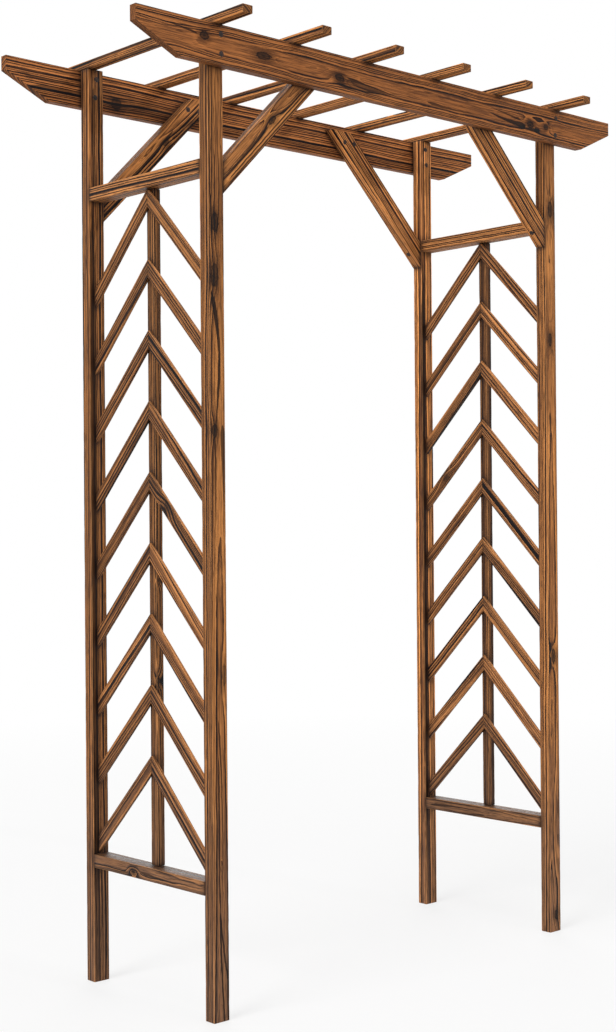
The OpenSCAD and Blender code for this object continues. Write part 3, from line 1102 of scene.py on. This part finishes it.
def screwTree():
    # points with a facing direction become screw heads with a cross recess, on a dark rim of painted shade in
    # the bore
    tree = bpy.data.node_groups.new("screwHeads", "GeometryNodeTree")
    labels = ("Head Radius", "Head Height", "Edge Round", "Rim Radius", "Rim Height", "Slot Length",
              "Slot Width", "Slot Depth")
    kinds = {"Places": "Geometry", **dict.fromkeys(labels, "Float"), "Steel": "Material", "Rim": "Material"}
    for label, kind in kinds.items():
        tree.interface.new_socket(label, in_out="INPUT", socket_type="NodeSocket" + kind)
    tree.interface.new_socket("Screws", in_out="OUTPUT", socket_type="NodeSocketGeometry")
    given = addNode(tree, "NodeGroupInput").outputs

    def cylinder(radius, height, rings):
        values = {"Vertices": screwSizes["facets"], "Side Segments": rings, "Radius": radius, "Depth": height}
        return addNode(tree, "GeometryNodeMeshCylinder", values, fill_type="NGON").outputs["Mesh"]

    def dome(mesh, height):
        # draws the upper rings in so that the edge is rounded
        x, y, z = splitVector(tree, addNode(tree, "GeometryNodeInputPosition").outputs[0])
        up = mapRange(tree, z, 0.0, times(tree, height, 0.5))
        scale = minus(tree, 1.0, times(tree, up, up, given["Edge Round"]))
        drawn = joinVector(tree, times(tree, x, scale), times(tree, y, scale), z)
        return addNode(tree, "GeometryNodeSetPosition", {"Geometry": mesh, "Position": drawn}).outputs[0]

    def slotBar(length, width):
        # twice as deep as the slot, with its middle at the head's top
        size = joinVector(tree, length, width, times(tree, given["Slot Depth"], 2.0))
        bar = addNode(tree, "GeometryNodeMeshCube", {"Size": size}).outputs["Mesh"]
        top = joinVector(tree, 0.0, 0.0, times(tree, given["Head Height"], 0.5))
        return addNode(tree, "GeometryNodeTransform", {"Geometry": bar, "Translation": top}).outputs[0]

    def named(attribute, kind):
        values = {"Name": attribute}
        return addNode(tree, "GeometryNodeInputNamedAttribute", values, data_type=kind).outputs["Attribute"]

    tall = given["Head Height"]
    head = dome(cylinder(given["Head Radius"], tall, screwSizes["headRings"]), tall)
    length, width = given["Slot Length"], given["Slot Width"]
    for bar in (slotBar(length, width), slotBar(width, length)):
        head = addNode(tree, "GeometryNodeMeshBoolean", {"Mesh 1": head, "Mesh 2": bar},
                       operation="DIFFERENCE", solver="EXACT").outputs["Mesh"]
    # the rim is a thin dark disc under the head: painted shade in the bore
    rim = cylinder(given["Rim Radius"], given["Rim Height"], screwSizes["rimRings"])
    join = addNode(tree, "GeometryNodeJoinGeometry")
    for mesh, label in ((head, "Steel"), (rim, "Rim")):
        turn = addNode(tree, "FunctionNodeAlignRotationToVector", {
            "Vector": named("facing", "FLOAT_VECTOR")}, axis="Z")
        twist = addNode(tree, "FunctionNodeRotateRotation", {
            "Rotation": turn.outputs[0], "Rotate By": joinVector(tree, 0.0, 0.0, named("spin", "FLOAT")),
        }, rotation_space="LOCAL")
        spread = addNode(tree, "GeometryNodeInstanceOnPoints", {
            "Points": given["Places"], "Instance": mesh, "Rotation": twist.outputs[0]})
        real = addNode(tree, "GeometryNodeRealizeInstances", {0: spread.outputs[0]})
        paint = addNode(tree, "GeometryNodeSetMaterial", {
            "Geometry": real.outputs[0], "Material": given[label]})
        feed(tree, join.inputs[0], paint.outputs[0])
    addNode(tree, "NodeGroupOutput", {0: join.outputs[0]})
    return tree


def driveScrews(name, tree, places, steel, rim):
    # places is [(point on the timber's face, way out of it, spin)]
    mesh = bpy.data.meshes.new(name)
    sunk = screwSizes["headHeight"] / 2 - screwSizes["standsOut"]
    mesh.from_pydata([p - out * sunk for p, out, spin in places], [], [])
    mesh.attributes.new("facing", "FLOAT_VECTOR", "POINT")
    mesh.attributes.new("spin", "FLOAT", "POINT")
    for i, (p, out, spin) in enumerate(places):
        mesh.attributes["facing"].data[i].vector = out
        mesh.attributes["spin"].data[i].value = spin
    seat = addObject(name + "Seat", mesh)
    modifier = seat.modifiers.new("screwHeads", "NODES")
    modifier.node_group = tree
    values = {**screwSizes, "steel": steel, "rim": rim}
    for item in tree.interface.items_tree:
        if item.in_out == "INPUT" and item.name != "Places":
            modifier[item.identifier] = values[plainKey(item.name)]
    bpy.context.view_layer.update()
    made = bpy.data.meshes.new_from_object(seat.evaluated_get(bpy.context.evaluated_depsgraph_get()))
    bpy.data.objects.remove(seat)
    piece = addObject(name, made)
    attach(piece, "root")


# drops are from the top of a beam or a brace; the toe screw stands this far up and out from a brace's foot
screwPlaces = {
    "beamDrops": (0.022, 0.064), "beamSlip": 0.003, "beamRise": 0.002,
    "braceDrop": 0.028, "braceSpread": 0.017, "toeRise": 0.034, "mostSpin": 1.5,
    "seed": 5,
}


def makeScrews():
    draw = random.Random(screwPlaces["seed"])
    ins = timberFinish["dressed"]
    most = screwPlaces["mostSpin"]
    beamScrews, braceScrews, battenScrews = [], [], []
    for face, way in (("front", -1), ("back", 1)):
        beamLow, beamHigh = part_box("beam_" + face)
        outerY = beamLow.y if way < 0 else beamHigh.y
        for side in ("left", "right"):
            low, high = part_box("post_%s_%s" % (face, side))
            x = (low.x + high.x) / 2
            innerY = high.y if way < 0 else low.y
            for drop in screwPlaces["beamDrops"]:
                slip = draw.uniform(-screwPlaces["beamSlip"], screwPlaces["beamSlip"])
                z = beamHigh.z - drop + draw.uniform(-screwPlaces["beamRise"], screwPlaces["beamRise"])
                for across, y, out in ((x + slip, outerY, way), (x - slip, innerY, -way)):
                    place = Vector((across, y - out * ins, z))
                    beamScrews.append((place, alongY * out, draw.uniform(0, most)))
    for node in braceStock:
        low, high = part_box(node)
        foot, lean = (low.x, 1) if node.endswith("left") else (high.x, -1)
        inner, outward = (high.y, alongY) if "front" in node else (low.y, -alongY)
        z = high.z - screwPlaces["braceDrop"]
        middle = foot + lean * ((z - low.z) - braceSizes["width"] / 2 / math.cos(braceSizes["angle"]))
        for step in (-1, 1):
            x = middle + step * screwPlaces["braceSpread"]
            braceScrews.append((Vector((x, inner, z)) - outward * ins, outward, draw.uniform(0, most)))
        rise = screwPlaces["toeRise"]
        under = Vector((lean * math.sin(braceSizes["angle"]), 0, -math.cos(braceSizes["angle"])))
        toe = Vector((foot + lean * rise, (low.y + high.y) / 2, low.z + rise))
        braceScrews.append((toe - under * ins, under, draw.uniform(0, most)))
    for i in range(battenCount):
        low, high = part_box("batten_%d" % (i + 1))
        for face in ("front", "back"):
            beamLow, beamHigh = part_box("beam_" + face)
            # flush, so as not to stand above the top of the frame
            z = high.z - screwSizes["standsOut"]
            spot = Vector(((low.x + high.x) / 2, (beamLow.y + beamHigh.y) / 2, z))
            battenScrews.append((spot, alongZ, draw.uniform(0, most)))
    families = {"beamScrews": beamScrews, "braceScrews": braceScrews, "battenScrews": battenScrews}
    tree, steel, rim = screwTree(), blackenedSteel(), crushedRim()
    for name, places in families.items():
        driveScrews(name, tree, places, steel, rim)
    print("screws: %d" % sum(len(places) for places in families.values()))


makeScrews()


# the white starts and ends this far from the middle
floorSizes = {
    "radius": 14.0, "facets": 96, "whiteFrom": 1.5, "whiteTo": 5.0, "leastWhite": 0.72, "grey": 0.86,
    "roughness": 0.9}


def whiteRays(tree, *kinds):
    # 1 for the rays that are to meet plain white
    path = addNode(tree, "ShaderNodeLightPath").outputs
    white = greater(tree, path["Is Camera Ray"], path["Is Glossy Ray"])
    for kind in kinds:
        white = greater(tree, white, path[kind])
    return white


def makeFloor():
    bm = bmesh.new()
    bmesh.ops.create_circle(bm, cap_ends=True, segments=floorSizes["facets"], radius=floorSizes["radius"])
    mesh = bpy.data.meshes.new("studioFloor")
    bm.to_mesh(mesh)
    bm.free()
    floor = addObject("studioFloor", mesh)
    material, tree, shader = blankMaterial("paleFloor")
    grey = floorSizes["grey"]
    feedAll(tree, shader, {"Base Color": (grey, grey, grey, 1), "Roughness": floorSizes["roughness"]})
    glow = addNode(tree, "ShaderNodeEmission")
    away = addNode(tree, "ShaderNodeVectorMath", {0: objectPlace(tree)}, operation="LENGTH").outputs["Value"]
    far = mapRange(tree, away, floorSizes["whiteFrom"], floorSizes["whiteTo"], floorSizes["leastWhite"], 1.0)
    white = times(tree, whiteRays(tree), far)
    blend = addNode(tree, "ShaderNodeMixShader", {0: white, 1: shader.outputs[0], 2: glow.outputs[0]})
    feed(tree, tree.nodes["Material Output"].inputs["Surface"], blend.outputs[0])
    mesh.materials.append(material)


lightSizes = {
    "ambient": 0.26,
    # turn is from straight in front towards the right, all in degrees
    "suns": {
        "frontLight": {"turn": 7.3, "rise": 8.0, "spread": 1.1, "strength": 0.72},
        "backLight": {"turn": 140.0, "rise": 20.0, "spread": 40.0, "strength": 0.9},
        "sideLight": {"turn": -82.0, "rise": 22.0, "spread": 32.0, "strength": 2.95},
    },
    "above": {"where": (-0.4, -0.6, 5.2), "size": 3.0, "power": 80},
}


def hangLamp(light, where, source):
    lamp = addObject(light.name, light)
    lamp.location = where
    lamp.rotation_mode = "QUATERNION"
    lamp.rotation_quaternion = Vector(source).to_track_quat("Z", "Y")


def makeLights():
    world = bpy.data.worlds.new("studio")
    bpy.context.scene.world = world
    world.use_nodes = True
    tree = world.node_tree
    tree.nodes.clear()
    white = (1, 1, 1, 1)
    fill = addNode(tree, "ShaderNodeBackground", {"Color": white, "Strength": lightSizes["ambient"]})
    backdrop = addNode(tree, "ShaderNodeBackground", {"Color": white, "Strength": 1.0})
    seen = whiteRays(tree, "Is Transmission Ray")
    blend = addNode(tree, "ShaderNodeMixShader", {0: seen, 1: fill.outputs[0], 2: backdrop.outputs[0]})
    addNode(tree, "ShaderNodeOutputWorld", {"Surface": blend.outputs[0]})

    for name, sizes in lightSizes["suns"].items():
        sun = bpy.data.lights.new(name, "SUN")
        sun.energy = sizes["strength"]
        sun.angle = math.radians(sizes["spread"])
        turn, rise = math.radians(sizes["turn"]), math.radians(sizes["rise"])
        source = Vector((math.sin(turn) * math.cos(rise), -math.cos(turn) * math.cos(rise), math.sin(rise)))
        hangLamp(sun, (0, 0, 0), source)
    above = lightSizes["above"]
    light = bpy.data.lights.new("aboveLight", "AREA")
    light.shape = "SQUARE"
    light.size = above["size"]
    light.energy = above["power"]
    target = (boxAtStart[0] + boxAtStart[1]) / 2
    hangLamp(light, above["where"], Vector(above["where"]) - target)


# the place in metres, the turns in degrees, lens and sensor in millimetres
cameraPlace = {
    "where": (-2.74373, -2.91896, 1.05115), "turn": 42.345, "tilt": 0.23, "roll": -0.45,
    "lens": 57.294, "sensor": 36.0,
}


def makeCamera():
    turn, tilt, roll = (math.radians(cameraPlace[k]) for k in ("turn", "tilt", "roll"))
    ahead = Vector((math.sin(turn) * math.cos(tilt), math.cos(turn) * math.cos(tilt), math.sin(tilt)))
    level = Vector((math.cos(turn), -math.sin(turn), 0))
    upright = level.cross(ahead)
    right = level * math.cos(roll) + upright * math.sin(roll)
    up = upright * math.cos(roll) - level * math.sin(roll)
    data = bpy.data.cameras.new("studioCamera")
    data.lens = cameraPlace["lens"]
    data.sensor_width = cameraPlace["sensor"]
    data.sensor_fit = "AUTO"
    camera = addObject("studioCamera", data)
    place = Matrix((right, up, -ahead)).transposed().to_4x4()
    place.translation = Vector(cameraPlace["where"])
    camera.matrix_world = place
    bpy.context.scene.camera = camera


makeFloor()
makeLights()
makeCamera()
bpy.context.scene.view_settings.view_transform = "Standard"
print("stage, lights and camera are set")
